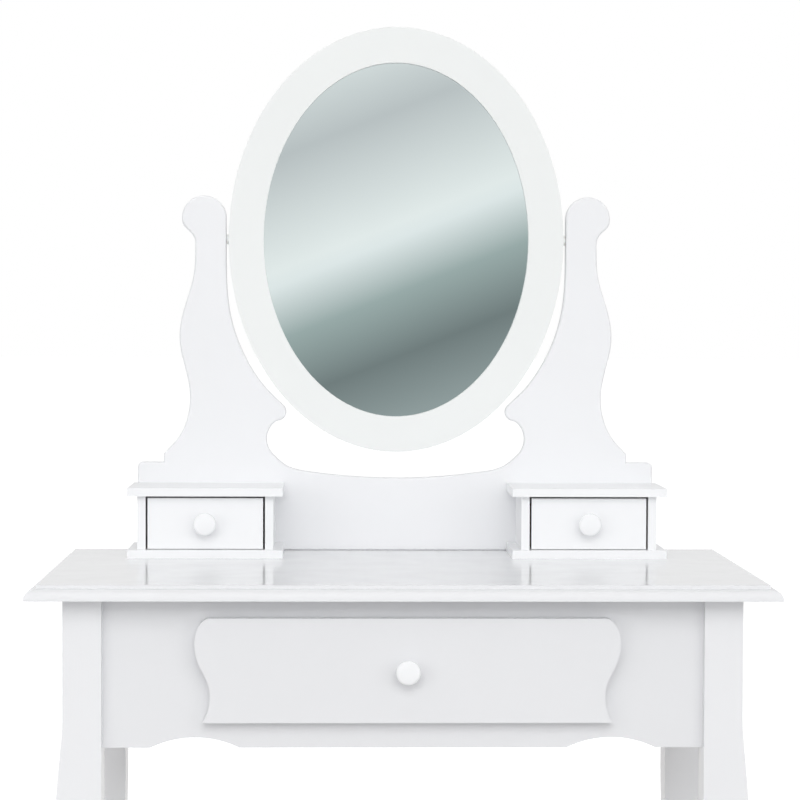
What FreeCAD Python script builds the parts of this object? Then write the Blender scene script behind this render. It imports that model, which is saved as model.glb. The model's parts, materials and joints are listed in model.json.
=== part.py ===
"""Dressing table with an oval tilting mirror, two small cabinets and one wide drawer.

Frame: X to the right, Y to the back, Z up, in millimetres. The origin is on
the floor, under the middle of the table top. The front of the table is at -Y.
"""

import FreeCAD, Part
import math
import os
import re

import Sketcher

V = FreeCAD.Vector

# ---------------------------------------------------------------- dimensions

DIMENSIONS = {
    # table top
    "table_width": 750,
    "table_depth": 400,
    "table_height": 760,
    "top_thickness": 15,
    "field_rise": 3.5,
    "field_inset": 11.5,
    "edge_round": 11,
    # legs
    "leg_side": 38.5,
    "leg_overhang": 35.5,
    "front_overhang": 30,
    "leg_straight": 122,
    "knee_swell": 8,
    "knee_height": 505,
    "ankle_height": 125,
    "glide_height": 4,
    "glide_radius": 10,
    "glide_pin_radius": 1.5,
    "glide_pin_length": 14,
    "glide_inset": 26,
    # aprons
    "apron_height": 151,
    "apron_board": 15,
    "apron_setback": 10,
    "arch_centre": 208.5,
    "arch_width": 89,
    "arch_rise": 10.3,
    # opening for the wide drawer
    "opening_width": 366,
    "opening_height": 86,
    "opening_drop": 42,
    # wide drawer
    "wide_front_thickness": 15,
    "wide_front_gap": 0.5,
    "wide_front_drop": 34.8,
    "wide_front_height": 104.2,
    "wide_front_shift": 4,
    "wide_knob_drop": 0.4,
    "wide_box_lift": 2,
    "wide_box_width": 362,
    "wide_box_height": 80,
    "wide_box_length": 285,
    "wide_board": 12,
    "wide_fixing_low": 22,
    "wide_fixing_high": 64,
    "hardboard": 3,
    "hardboard_play": 0.2,
    "groove_depth": 5,
    "groove_play": 0.1,
    "runner_groove_start": 18,
    "wide_bottom_lift": 8,
    "wide_bottom_short": 2,
    # rails and runners of the wide drawer
    "rail_board": 15,
    "rail_height": 60,
    "rail_drop": 101,
    "rail_gap": 7,
    "rail_dowel_low": 12,
    "rail_dowel_high": 48,
    "rail_dowel_bite": 10,
    "runner_height": 10,
    "runner_drop": 76,
    "runner_reach": 4.4,
    "runner_start": 5,
    "runner_length": 270,
    "runner_play": 0.15,
    "runner_screw_spacing": 110,
    "runner_screw_seat": 6,
    "runner_sink_radius": 3.6,
    "runner_sink_depth": 8,
    # small cabinets
    "cabinet_centre": 211.15,
    "cabinet_width": 170,
    "cabinet_depth": 100,
    "cabinet_height": 77,
    "cabinet_board": 9,
    "cabinet_inset": 10.5,
    "cabinet_setback": 10,
    "cabinet_dowel_front": 30,
    "cabinet_dowel_rear": 80,
    "cabinet_dowel_low_bite": 6,
    "cabinet_dowel_high_bite": 12,
    "cabinet_dowel_length": 18,
    # small drawers
    "small_front_width": 126.6,
    "small_front_height": 56,
    "small_front_lift": 0.6,
    "small_box_width": 124,
    "small_box_height": 45,
    "small_box_length": 73,
    "small_box_lift": 0.1,
    "small_board": 8,
    "small_bottom_lift": 5,
    "small_groove": 4,
    # mirror stand
    "stand_board": 12,
    "stand_rear": 2,
    "stand_shoulder_half": 292,
    "stand_shoulder_height": 100,
    "stand_shoulder_round": 5.5,
    "stand_step_half": 262.5,
    "stand_step_rise": 9.5,
    "stand_head_height": 376.4,
    "stand_head_radius": 25.1,
    "stand_edge_round": 2.5,
    "pivot_height": 352,
    # mirror
    "mirror_width": 379,
    "mirror_height": 480,
    "mirror_board": 15,
    "sight_width": 300,
    "sight_height": 400,
    "rebate_width": 8,
    "rebate_lip": 6,
    "glass_thickness": 3,
    "glass_play": 0.5,
    "stand_gap": 2.6,
    "backing_pin_radius": 0.8,
    "backing_pin_length": 13,
    "backing_pin_bite": 5,
    "backing_pin_lift": 1,
    # mirror pivots
    "bolt_radius": 2.5,
    "bolt_head_radius": 4,
    "bolt_head_height": 3.5,
    "bolt_pocket_play": 0.4,
    "bolt_seat": 222.5,
    "bolt_tip": 178,
    "insert_radius": 4,
    "insert_length": 13,
    "washer_radius": 5.5,
    "washer_thickness": 2.1,
    "washer_play": 0.05,
    "running_play": 0.05,
    # knobs
    "knob_radius": 12.5,
    "knob_length": 18,
    "knob_foot_radius": 7,
    "knob_foot_rim": 1.5,
    "knob_neck_radius": 5,
    "knob_neck_low": 4,
    "knob_neck_high": 6.5,
    "knob_rim_radius": 3.5,
    "knob_rim_height": 13.5,
    "knob_screw_head_radius": 4,
    "knob_screw_head_height": 2.2,
    "knob_screw_radius": 2,
    "knob_screw_reach": 10,
    # dowels
    "dowel_radius": 4,
    "dowel_length": 30,
    "thin_dowel_radius": 3,
    "thin_dowel_length": 24,
    "thin_dowel_bite": 9,
    "apron_dowel_low": 120,
    "apron_dowel_high": 28,
    "side_dowel_low": 105,
    "side_dowel_high": 43,
    # cam locks and their bolts
    "cam_radius": 7.5,
    "cam_depth": 12,
    "cam_reach": 24,
    "cam_drop": 74,
    "cam_thread_radius": 3.5,
    "cam_thread_length": 10,
    "cam_shank_radius": 2.5,
    "cam_head_radius": 3.4,
    "cam_head_length": 3,
    # angle brackets under the top
    "bracket_leg": 20,
    "bracket_sheet": 2,
    "bracket_hole": 12,
    "bracket_front_spread": 250,
    "bracket_rear_spread": 120,
    # screws
    "short_screw_head_radius": 3.5,
    "short_screw_head_height": 1.8,
    "short_screw_radius": 1.75,
    "short_screw_length": 11.5,
    "base_screw_head_radius": 4,
    "base_screw_head_height": 2.5,
    "base_screw_radius": 2,
    "base_screw_length": 22,
    "base_screw_spread": 55,
    "base_screw_front": 25,
    "base_screw_rear": 75,
    "stand_screw_inner": 90,
    "stand_screw_outer": 270,
    "stand_screw_sink": 8,
    "stand_counterbore_radius": 4.5,
    "side_screw_head_radius": 3.5,
    "side_screw_head_height": 3,
    "side_screw_radius": 2,
    "side_screw_length": 34,
    "side_screw_sink": 0.3,
}

NODES = []

doc = FreeCAD.newDocument("dressing_table")
sheet = doc.addObject("Spreadsheet::Sheet", "Dims")
for row, (alias, value) in enumerate(DIMENSIONS.items(), start=1):
    sheet.set(f"A{row}", alias)
    sheet.set(f"B{row}", str(value))
    sheet.setAlias(f"B{row}", alias)
doc.recompute()


def bound(text):
    """An expression in plain aliases, with each alias named in the sheet."""

    def named(match):
        word = match.group(0)
        return f"Dims.{word}" if word in DIMENSIONS else word

    return re.sub(r"[a-z][a-z_]*", named, str(text))


def size(text):
    """The number that an expression in the sheet's aliases stands for now."""
    cell = "D1"
    sheet.set(cell, "=" + re.sub(r"Dims\.", "", bound(text)))
    sheet.recompute()
    number = float(sheet.get(cell))
    sheet.clear(cell)
    return number


# ---------------------------------------------------------------- building tools

FRONT_LEG_FACE = "-table_depth / 2 + front_overhang"
REAR_LEG_BACK = "table_depth / 2 - leg_overhang"
APRON_FACE = f"({FRONT_LEG_FACE} + apron_setback)"
REAR_APRON_BACK = f"({REAR_LEG_BACK} - apron_setback)"
UNDER_TOP = "(table_height - top_thickness)"
LEG_INNER = "(table_width / 2 - leg_overhang - leg_side)"
LEG_OUTER = "(table_width / 2 - leg_overhang)"
STAND_FRONT = "(table_depth / 2 - stand_rear - stand_board)"
PIVOT_Y = "(table_depth / 2 - stand_rear - stand_board / 2)"
PIVOT_Z = "(table_height + pivot_height)"
RAIL_INNER = "(wide_box_width / 2 + rail_gap)"
RAIL_FOOT = f"({UNDER_TOP} - rail_drop)"
RUNNER_FOOT = f"({UNDER_TOP} - runner_drop)"
RUNNER_MIDDLE = f"({RUNNER_FOOT} + runner_height / 2)"
RUNNER_FRONT = f"({APRON_FACE} + apron_board + runner_start)"

ALONG = {
    "+x": FreeCAD.Rotation(V(0, 0, 1), V(1, 0, 0)),
    "-x": FreeCAD.Rotation(V(0, 0, 1), V(-1, 0, 0)),
    "+y": FreeCAD.Rotation(V(0, 0, 1), V(0, 1, 0)),
    "-y": FreeCAD.Rotation(V(0, 0, 1), V(0, -1, 0)),
    "+z": FreeCAD.Rotation(),
}


def bind(thing, **expressions):
    for name, text in expressions.items():
        thing.setExpression(name, bound(text))


def place(thing, x, y, z, along="+z"):
    """Turn a thing's own +Z to a direction, and bind its place to the sheet."""
    thing.Placement = FreeCAD.Placement(V(0, 0, 0), ALONG[along])
    for axis, text in zip("xyz", (x, y, z)):
        thing.setExpression(f"Placement.Base.{axis}", bound(text))
    return thing


def block(name, length, width, height, x, y, z):
    """A box from its low corner."""
    thing = doc.addObject("Part::Box", name)
    bind(thing, Length=length, Width=width, Height=height)
    return place(thing, x, y, z)


def rod(name, radius, length, x, y, z, along="+z"):
    thing = doc.addObject("Part::Cylinder", name)
    bind(thing, Radius=radius, Height=length)
    return place(thing, x, y, z, along)


def fuse(name, things):
    thing = doc.addObject("Part::MultiFuse", name)
    thing.Shapes = things
    return thing


def group(name, things):
    thing = doc.addObject("Part::Compound", name)
    thing.Links = things
    return thing


def cut(name, base, *tools):
    """A base with each tool taken out of it in turn."""
    for tool in tools:
        result = doc.addObject("Part::Cut", name + "_cut")
        result.Base = base
        result.Tool = tool
        base = result
    return base


def node(name, thing):
    """Name a finished piece of the table."""
    thing.Label = name
    NODES.append(thing)
    return thing


def plane(body, role):
    return next(item for item in body.Origin.OriginFeatures if item.Role == role)


def sketch(body, role, curves, name):
    """A sketch of ready curves on one of the body's own origin planes."""
    drawn = body.newObject("Sketcher::SketchObject", name)
    drawn.AttachmentSupport = (plane(body, role), [""])
    drawn.MapMode = "FlatFace"
    for curve in curves:
        drawn.addGeometry(curve, False)
    return drawn


def rectangle(x_low, y_low, x_high, y_high):
    corners = [V(x_low, y_low, 0), V(x_high, y_low, 0), V(x_high, y_high, 0), V(x_low, y_high, 0)]
    return lines(corners + corners[:1])


def lines(points):
    return [Part.LineSegment(a, b) for a, b in zip(points, points[1:])]


def heading(degrees):
    """A direction in a sketch, counted from +X."""
    angle = math.radians(degrees)
    return V(math.cos(angle), math.sin(angle), 0)


def curve_through(points, first=None, last=None):
    """A smooth curve through its points; first and last are its headings at its ends."""
    smooth = Part.BSplineCurve()
    if first is None:
        smooth.interpolate(points)
    else:
        ends = {"InitialTangent": heading(first), "FinalTangent": heading(last)}
        smooth.interpolate(Points=points, Scale=False, **ends)
    return smooth


def arc(centre, radius, start, end):
    """Part of a circle, from one heading to another."""
    places = [centre + heading(degrees) * radius for degrees in (start, (start + end) / 2, end)]
    return Part.Arc(*places)


def flipped(points):
    """The same points mirrored left to right, in the opposite order."""
    return [V(-point.x, point.y, 0) for point in reversed(points)]


def upright_board(name, curves, thickness, back, shift="0"):
    """A board cut to an outline in X and Z, with its back at a given Y."""
    body = doc.addObject("PartDesign::Body", name + "_body")
    outline = sketch(body, "XZ_Plane", curves, name + "_outline")
    pad = body.newObject("PartDesign::Pad", name + "_pad")
    pad.Profile = outline
    bind(pad, Length=thickness)
    place(body, shift, back, "0")
    return body, pad


def turned(name, profile, along, x, y, z):
    """A turned piece: its profile's X is the radius and its Y runs along the axis."""
    body = doc.addObject("PartDesign::Body", name + "_body")
    half = sketch(body, "XZ_Plane", profile, name + "_profile")
    spin = body.newObject("PartDesign::Revolution", name + "_turning")
    spin.Profile = half
    spin.ReferenceAxis = (half, ["V_Axis"])
    spin.Angle = 360
    place(body, x, y, z, along)
    return body


# Each fixing is a stack of coaxial steps: (radius, start, length) along its own axis.
# Its hole is the same stack, wider by a little and open past both ends.

HOLE_PLAY = 0.1

# How far a cutting tool runs past the face that it opens.
CLEAR = 1


def stepped(name, steps, x, y, z, along, play=0.0):
    """One fixing, or the hole for it when play is given."""
    parts = []
    for number, (radius, start, length) in enumerate(steps):
        part = doc.addObject("Part::Cylinder", f"{name}_step{number}")
        bind(part, Radius=f"{radius} + {play}", Height=f"{length} + {2 * play}")
        place(part, "0", "0", f"{start} - {play}")
        parts.append(part)
    whole = fuse(name, parts) if len(parts) > 1 else group(name, parts)
    return place(whole, x, y, z, along)


def fixings(name, steps, places):
    """Make a node of identical fixings, and give back the group of their holes."""
    solids = []
    holes = []
    for number, (x, y, z, along) in enumerate(places):
        solids.append(stepped(f"{name}_{number}", steps, x, y, z, along))
        holes.append(stepped(f"{name}_hole_{number}", steps, x, y, z, along, HOLE_PLAY))
    node(name, group(name, solids))
    return group(name + "_holes", holes)


SIDES = {"left": -1, "right": 1}


# ---------------------------------------------------------------- fixings of the table

def leg_joint_places(heights, behind):
    """Both ends of the four aprons, at the given heights, pointing into the legs."""
    places = []
    for height in heights["front_and_rear"]:
        for side in SIDES.values():
            start = f"{side} * ({LEG_INNER} - {behind})"
            along = "+x" if side > 0 else "-x"
            places.append((start, f"{APRON_FACE} + apron_board / 2", height, along))
            places.append((start, f"{REAR_APRON_BACK} - apron_board / 2", height, along))
    for height in heights["sides"]:
        for side in SIDES.values():
            across = f"{side} * ({LEG_OUTER} - apron_setback - apron_board / 2)"
            front_end = f"{FRONT_LEG_FACE} + leg_side + {behind}"
            rear_end = f"{REAR_LEG_BACK} - leg_side - {behind}"
            places.append((across, front_end, height, "-y"))
            places.append((across, rear_end, height, "+y"))
    return places


def rail_joint_places():
    """The dowels that hold the two drawer rails between the front and rear aprons."""
    places = []
    for side in SIDES.values():
        across = f"{side} * ({RAIL_INNER} + rail_board / 2)"
        for lift in ("rail_dowel_low", "rail_dowel_high"):
            height = f"{RAIL_FOOT} + {lift}"
            front = f"{APRON_FACE} + apron_board - rail_dowel_bite"
            rear = f"{REAR_APRON_BACK} - apron_board + rail_dowel_bite"
            places.append((across, front, height, "+y"))
            places.append((across, rear, height, "-y"))
    return places


dowel_heights = {
    "front_and_rear": (f"{UNDER_TOP} - apron_dowel_low", f"{UNDER_TOP} - apron_dowel_high"),
    "sides": (f"{UNDER_TOP} - side_dowel_low", f"{UNDER_TOP} - side_dowel_high"),
}
CAM_HEIGHT = f"{UNDER_TOP} - cam_drop"
cam_heights = {"front_and_rear": (CAM_HEIGHT,), "sides": (CAM_HEIGHT,)}

dowel_holes = fixings(
    "apron_dowels",
    [("dowel_radius", "0", "dowel_length")],
    leg_joint_places(dowel_heights, behind="dowel_length / 2") + rail_joint_places(),
)

# A cam bolt screws into the leg and its headed shank reaches back into the cam.
cam_bolt_holes = fixings(
    "cam_bolts",
    [
        ("cam_thread_radius", "cam_reach", "cam_thread_length"),
        ("cam_shank_radius", "0", "cam_reach"),
        ("cam_head_radius", "0", "cam_head_length"),
    ],
    leg_joint_places(cam_heights, behind="cam_reach"),
)


def cam_lock_places():
    """Each cam sits in the hidden face of an apron, across the end of its bolt."""
    places = []
    for side in SIDES.values():
        across = f"{side} * ({LEG_INNER} - cam_reach)"
        places.append((across, f"{APRON_FACE} + apron_board", CAM_HEIGHT, "-y"))
        places.append((across, f"{REAR_APRON_BACK} - apron_board", CAM_HEIGHT, "+y"))
        inner_face = f"{side} * ({LEG_OUTER} - apron_setback - apron_board)"
        along = "+x" if side > 0 else "-x"
        places.append((inner_face, f"{FRONT_LEG_FACE} + leg_side + cam_reach", CAM_HEIGHT, along))
        places.append((inner_face, f"{REAR_LEG_BACK} - leg_side - cam_reach", CAM_HEIGHT, along))
    return places


CAM_STEP = [("cam_radius", "0", "cam_depth")]
cam_blanks = []
cam_pockets = []
for number, (x, y, z, along) in enumerate(cam_lock_places()):
    cam_blanks.append(stepped(f"cam_{number}", CAM_STEP, x, y, z, along))
    cam_pockets.append(stepped(f"cam_pocket_{number}", CAM_STEP, x, y, z, along, HOLE_PLAY))
cam_pocket_group = group("cam_pockets", cam_pockets)
node("cam_locks", cut("cam_locks", group("cam_blanks", cam_blanks), cam_bolt_holes))

# Angle brackets under the top: (x, y, side of the table that the bracket's apron is on).
BRACKET_PLACES = [
    ("-bracket_front_spread", f"{APRON_FACE} + apron_board", "front"),
    ("bracket_front_spread", f"{APRON_FACE} + apron_board", "front"),
    ("-bracket_rear_spread", f"{REAR_APRON_BACK} - apron_board", "rear"),
    ("bracket_rear_spread", f"{REAR_APRON_BACK} - apron_board", "rear"),
    (f"-{LEG_OUTER} + apron_setback + apron_board", "0", "left"),
    (f"{LEG_OUTER} - apron_setback - apron_board", "0", "right"),
]
TOWARDS_APRON = {"front": "-y", "rear": "+y", "left": "-x", "right": "+x"}

SHORT_SCREW = [
    ("short_screw_head_radius", "-short_screw_head_height", "short_screw_head_height"),
    ("short_screw_radius", "0", "short_screw_length"),
]


def angle_bracket(number, x, y, side):
    """An angle bracket whose corner is where the apron meets the top, and its two screws."""
    leg = "bracket_leg"
    metal = "bracket_sheet"
    half = "bracket_leg / 2"
    under_arm = f"{UNDER_TOP} - {metal}"
    foot = f"{UNDER_TOP} - {leg}"
    plate_hole = f"{UNDER_TOP} - bracket_hole"
    inward = 1 if side in ("front", "left") else -1

    def low(start, reach):
        """The low end of a length that runs inward from a start."""
        return start if inward > 0 else f"{start} - {reach}"

    if side in ("front", "rear"):
        plate = block(f"bracket_plate_{number}", leg, metal, leg, f"{x} - {half}", low(y, metal), foot)
        arm = block(f"bracket_arm_{number}", leg, leg, metal, f"{x} - {half}", low(y, leg), under_arm)
        into_top = (x, f"{y} + {inward} * bracket_hole", under_arm, "+z")
        into_apron = (x, f"{y} + {inward} * {metal}", plate_hole, TOWARDS_APRON[side])
    else:
        plate = block(f"bracket_plate_{number}", metal, leg, leg, low(x, metal), f"{y} - {half}", foot)
        arm = block(f"bracket_arm_{number}", leg, leg, metal, low(x, leg), f"{y} - {half}", under_arm)
        into_top = (f"{x} + {inward} * bracket_hole", y, under_arm, "+z")
        into_apron = (f"{x} + {inward} * {metal}", y, plate_hole, TOWARDS_APRON[side])
    return fuse(f"bracket_{number}", [plate, arm]), [into_top, into_apron]


bracket_solids = []
short_screw_places = []
for number, spot in enumerate(BRACKET_PLACES):
    bracket, its_screws = angle_bracket(number, *spot)
    bracket_solids.append(bracket)
    short_screw_places += its_screws

# Three screws hold each drawer runner to its rail, their heads let into the runner.
RUNNER_SCREW_PLACES = [
    f"{RUNNER_FRONT} + runner_length / 2 + {step} * runner_screw_spacing" for step in (-1, 0, 1)
]
for side in SIDES.values():
    for y in RUNNER_SCREW_PLACES:
        head_seat = f"{side} * ({RAIL_INNER} - runner_screw_seat)"
        short_screw_places.append((head_seat, y, RUNNER_MIDDLE, "+x" if side > 0 else "-x"))

short_screw_holes = fixings("short_screws", SHORT_SCREW, short_screw_places)
node("top_brackets", cut("top_brackets", group("bracket_blanks", bracket_solids), short_screw_holes))

# Countersunk screws come up through the top into the cabinets and the mirror stand.
BASE_SCREW = [
    ("base_screw_head_radius", "0", "base_screw_head_height"),
    ("base_screw_radius", "0", "base_screw_length"),
]
STAND_SCREW_PLACES = [
    f"{side} * {spread}" for side in (-1, 1) for spread in ("stand_screw_inner", "stand_screw_outer")
]
base_screw_places = []
for side in SIDES.values():
    for wall in (-1, 1):
        for depth in ("base_screw_front", "base_screw_rear"):
            x = f"{side} * cabinet_centre + {wall} * base_screw_spread"
            y = f"{STAND_FRONT} - cabinet_depth + {depth}"
            base_screw_places.append((x, y, UNDER_TOP, "+z"))
for x in STAND_SCREW_PLACES:
    base_screw_places.append((x, PIVOT_Y, f"{UNDER_TOP} + stand_screw_sink", "+z"))
base_screw_holes = fixings("base_screws", BASE_SCREW, base_screw_places)
stand_counterbores = group(
    "stand_counterbores",
    [
        rod(
            f"stand_counterbore_{number}",
            "stand_counterbore_radius",
            f"stand_screw_sink + {CLEAR}",
            x,
            PIVOT_Y,
            f"{UNDER_TOP} - {CLEAR}",
        )
        for number, x in enumerate(STAND_SCREW_PLACES)
    ],
)


# ---------------------------------------------------------------- table top

def table_top():
    """A board rounded on three top edges, with a raised flat field set in from them."""
    body = doc.addObject("PartDesign::Body", "table_top_body")
    half = size("table_width") / 2
    deep = size("table_depth") / 2
    outline = sketch(body, "XY_Plane", rectangle(-half, -deep, half, deep), "top_outline")
    board = body.newObject("PartDesign::Pad", "top_board")
    board.Profile = outline
    bind(board, Length="top_thickness - field_rise")
    doc.recompute()

    level = size("top_thickness - field_rise")
    rounded = []
    for number, edge in enumerate(board.Shape.Edges, start=1):
        middle = edge.CenterOfMass
        if abs(middle.z - level) < 0.01 and middle.y < deep - 0.01:
            rounded.append(f"Edge{number}")
    fillet = body.newObject("PartDesign::Fillet", "top_round")
    fillet.Base = (board, rounded)
    bind(fillet, Radius="edge_round")

    inset = size("field_inset")
    field_curves = rectangle(-half + inset, -deep + inset, half - inset, deep)
    field_outline = sketch(body, "XY_Plane", field_curves, "field_outline")
    bind(field_outline, **{"AttachmentOffset.Base.z": "top_thickness - field_rise"})
    field = body.newObject("PartDesign::Pad", "raised_field")
    field.Profile = field_outline
    bind(field, Length="field_rise")
    return place(body, "0", "0", UNDER_TOP)


node(
    "table_top",
    cut("table_top", table_top(), short_screw_holes, base_screw_holes, stand_counterbores),
)


# ---------------------------------------------------------------- legs

def leg_outline():
    """A right leg seen from the front: a square post that swells at the knee,
    narrows to an ankle and kicks out again at the foot."""
    inner = size(LEG_INNER)
    outer = size(LEG_OUTER)
    top = size(UNDER_TOP)
    straight = size(f"{UNDER_TOP} - leg_straight")
    knee = size("knee_height")
    ankle = size("ankle_height")
    foot = size("glide_height")
    swell = size("knee_swell")
    outer_side = [
        V(outer, straight, 0),
        V(outer + 0.24 * swell, knee + 90, 0),
        V(outer + 0.76 * swell, knee + 43, 0),
        V(outer + swell, knee, 0),
        V(outer + 0.4 * swell, knee - 80, 0),
        V(outer - 10, knee - 215, 0),
        V(outer - 13, ankle + 20, 0),
        V(outer - 8, ankle - 65, 0),
        V(outer + 2, foot, 0),
    ]
    inner_side = [
        V(inner + 12, foot, 0),
        V(inner + 6, ankle - 65, 0),
        V(inner + 4, ankle + 20, 0),
        V(inner + 6, knee - 215, 0),
        V(inner + 3.5, knee - 90, 0),
        V(inner, knee + 15, 0),
    ]
    outer_curve = curve_through(outer_side, first=-90, last=-78)
    inner_curve = curve_through(inner_side, first=98, last=90)
    corners = [inner_side[-1], V(inner, top, 0), V(outer, top, 0), outer_side[0]]
    return lines(corners) + [outer_curve] + lines([outer_side[-1], inner_side[0]]) + [inner_curve]


def mirrored(curves):
    """Curves reflected left to right."""
    reflection = FreeCAD.Matrix()
    reflection.A11 = -1
    result = []
    for curve in curves:
        copy = curve.copy()
        copy.transform(reflection)
        result.append(copy)
    return result


GLIDE = [
    ("glide_radius", "0", "glide_height"),
    ("glide_pin_radius", "0", "glide_height + glide_pin_length"),
]
glides = []
glide_pin_holes = []
for side_name, side in SIDES.items():
    for end_name, y in (
        ("front", f"{FRONT_LEG_FACE} + leg_side / 2"),
        ("rear", f"{REAR_LEG_BACK} - leg_side / 2"),
    ):
        x = f"{side} * ({LEG_INNER} + glide_inset)"
        name = f"{end_name}_{side_name}_glide"
        glides.append(stepped(name, GLIDE, x, y, "0", "+z"))
        pin_hole = rod(
            name + "_pin_hole",
            f"glide_pin_radius + {HOLE_PLAY}",
            f"glide_pin_length + 2 * {HOLE_PLAY}",
            x,
            y,
            f"glide_height - {HOLE_PLAY}",
        )
        glide_pin_holes.append(pin_hole)
node("foot_glides", group("foot_glides", glides))
pin_holes = group("glide_pin_holes", glide_pin_holes)

for side_name, side in SIDES.items():
    for end_name, back in (
        ("front", f"{FRONT_LEG_FACE} + leg_side"),
        ("rear", REAR_LEG_BACK),
    ):
        name = f"{end_name}_{side_name}_leg"
        curves = leg_outline() if side > 0 else mirrored(leg_outline())
        body, _ = upright_board(name, curves, "leg_side", back)
        node(name, cut(name, body, dowel_holes, cam_bolt_holes, pin_holes))


# ---------------------------------------------------------------- aprons

def front_apron():
    """The front board: a wide opening for the drawer and two shallow arches below."""
    bottom = f"{UNDER_TOP} - apron_height"
    board = block(
        "front_apron_board",
        f"2 * {LEG_INNER}",
        "apron_board",
        "apron_height",
        f"-{LEG_INNER}",
        APRON_FACE,
        bottom,
    )
    opening = block(
        "drawer_opening",
        "opening_width",
        f"apron_board + 2 * {CLEAR}",
        "opening_height",
        "-opening_width / 2",
        f"{APRON_FACE} - {CLEAR}",
        "table_height - opening_drop - opening_height",
    )
    radius = "(arch_width ^ 2 / 4 + arch_rise ^ 2) / (2 * arch_rise)"
    arches = [
        rod(
            f"{name}_arch",
            radius,
            f"apron_board + 2 * {CLEAR}",
            f"{side} * arch_centre",
            f"{APRON_FACE} - {CLEAR}",
            f"{bottom} + arch_rise - {radius}",
            "+y",
        )
        for name, side in SIDES.items()
    ]
    fixing_holes = (dowel_holes, cam_bolt_holes, cam_pocket_group, short_screw_holes)
    return cut("front_apron", board, opening, *arches, *fixing_holes)


node("front_apron", front_apron())

rear_board = block(
    "rear_apron_board",
    f"2 * {LEG_INNER}",
    "apron_board",
    "apron_height",
    f"-{LEG_INNER}",
    f"{REAR_APRON_BACK} - apron_board",
    f"{UNDER_TOP} - apron_height",
)
node(
    "rear_apron",
    cut("rear_apron", rear_board, dowel_holes, cam_bolt_holes, cam_pocket_group, short_screw_holes),
)

for side_name, side in SIDES.items():
    outer_face = f"({LEG_OUTER} - apron_setback)"
    low_x = f"{outer_face} - apron_board" if side > 0 else f"-{outer_face}"
    board = block(
        f"{side_name}_apron_board",
        "apron_board",
        f"({REAR_LEG_BACK}) - ({FRONT_LEG_FACE}) - 2 * leg_side",
        "apron_height",
        low_x,
        f"{FRONT_LEG_FACE} + leg_side",
        f"{UNDER_TOP} - apron_height",
    )
    name = f"{side_name}_apron"
    node(name, cut(name, board, dowel_holes, cam_bolt_holes, cam_pocket_group, short_screw_holes))


# ---------------------------------------------------------------- rails and runners

for side_name, side in SIDES.items():
    low_x = RAIL_INNER if side > 0 else f"-{RAIL_INNER} - rail_board"
    rail = block(
        f"{side_name}_rail_board",
        "rail_board",
        f"{REAR_APRON_BACK} - {APRON_FACE} - 2 * apron_board",
        "rail_height",
        low_x,
        f"{APRON_FACE} + apron_board",
        RAIL_FOOT,
    )
    name = f"{side_name}_drawer_rail"
    node(name, cut(name, rail, dowel_holes, short_screw_holes))

    width = "(rail_gap + runner_reach)"
    low_x = f"{RAIL_INNER} - {width}" if side > 0 else f"-{RAIL_INNER}"
    strip = block(
        f"{side_name}_runner_strip",
        width,
        "runner_length",
        "runner_height",
        low_x,
        RUNNER_FRONT,
        RUNNER_FOOT,
    )
    sinks = [
        rod(
            f"{side_name}_sink_{number}",
            "runner_sink_radius",
            "runner_sink_depth",
            f"{side} * ({RAIL_INNER} - runner_screw_seat - runner_sink_depth)",
            y,
            RUNNER_MIDDLE,
            "+x" if side > 0 else "-x",
        )
        for number, y in enumerate(RUNNER_SCREW_PLACES)
    ]
    name = f"{side_name}_runner"
    node(name, cut(name, strip, short_screw_holes, group(name + "_sinks", sinks)))


# ---------------------------------------------------------------- wide drawer

def wide_front_outline():
    """A low panel with wavy ends: full at the top, a waist below, a point at the foot."""
    top = size("table_height - wide_front_drop")
    foot = size("table_height - wide_front_drop - wide_front_height")
    right_end = [
        V(204.6, foot, 0),
        V(199.2, foot + 11.5, 0),
        V(197.0, foot + 25, 0),
        V(198.0, foot + 36, 0),
        V(202.4, foot + 47.4, 0),
        V(208.4, foot + 59, 0),
        V(211.6, foot + 70, 0),
        V(212.2, foot + 80, 0),
        V(210.2, foot + 91, 0),
        V(204.3, foot + 100.9, 0),
        V(200.9, foot + 103.5, 0),
    ]
    corner = V(198.0, top, 0)
    edge = curve_through(right_end)
    return (
        [edge]
        + lines([right_end[-1], corner, V(-corner.x, top, 0), V(-right_end[-1].x, right_end[-1].y, 0)])
        + [curve_through(flipped(right_end))]
        + lines([V(-right_end[0].x, foot, 0), right_end[0]])
    )


WIDE_FRONT_BACK = f"({APRON_FACE} - wide_front_gap)"
WIDE_BOX_FOOT = "(table_height - opening_drop - opening_height + wide_box_lift)"
WIDE_BOX_BACK = f"({WIDE_FRONT_BACK} + wide_box_length)"
WIDE_BOTTOM = f"({WIDE_BOX_FOOT} + wide_bottom_lift)"

wide_dowel_places = []
wide_screw_places = []
for side in SIDES.values():
    across = f"{side} * (wide_box_width / 2 - wide_board / 2)"
    inward = "-x" if side > 0 else "+x"
    for lift in ("wide_fixing_low", "wide_fixing_high"):
        z = f"{WIDE_BOX_FOOT} + {lift}"
        wide_dowel_places.append((across, f"{WIDE_FRONT_BACK} - thin_dowel_bite", z, "+y"))
        back_middle = f"{WIDE_BOX_BACK} - wide_board / 2"
        wide_screw_places.append((f"{side} * wide_box_width / 2", back_middle, z, inward))
wide_dowel_holes = fixings(
    "wide_drawer_dowels", [("thin_dowel_radius", "0", "thin_dowel_length")], wide_dowel_places
)
wide_screw_holes = fixings(
    "wide_drawer_screws",
    [
        ("side_screw_head_radius", "side_screw_sink", "side_screw_head_height"),
        ("side_screw_radius", "side_screw_sink", "side_screw_length"),
    ],
    wide_screw_places,
)


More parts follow.
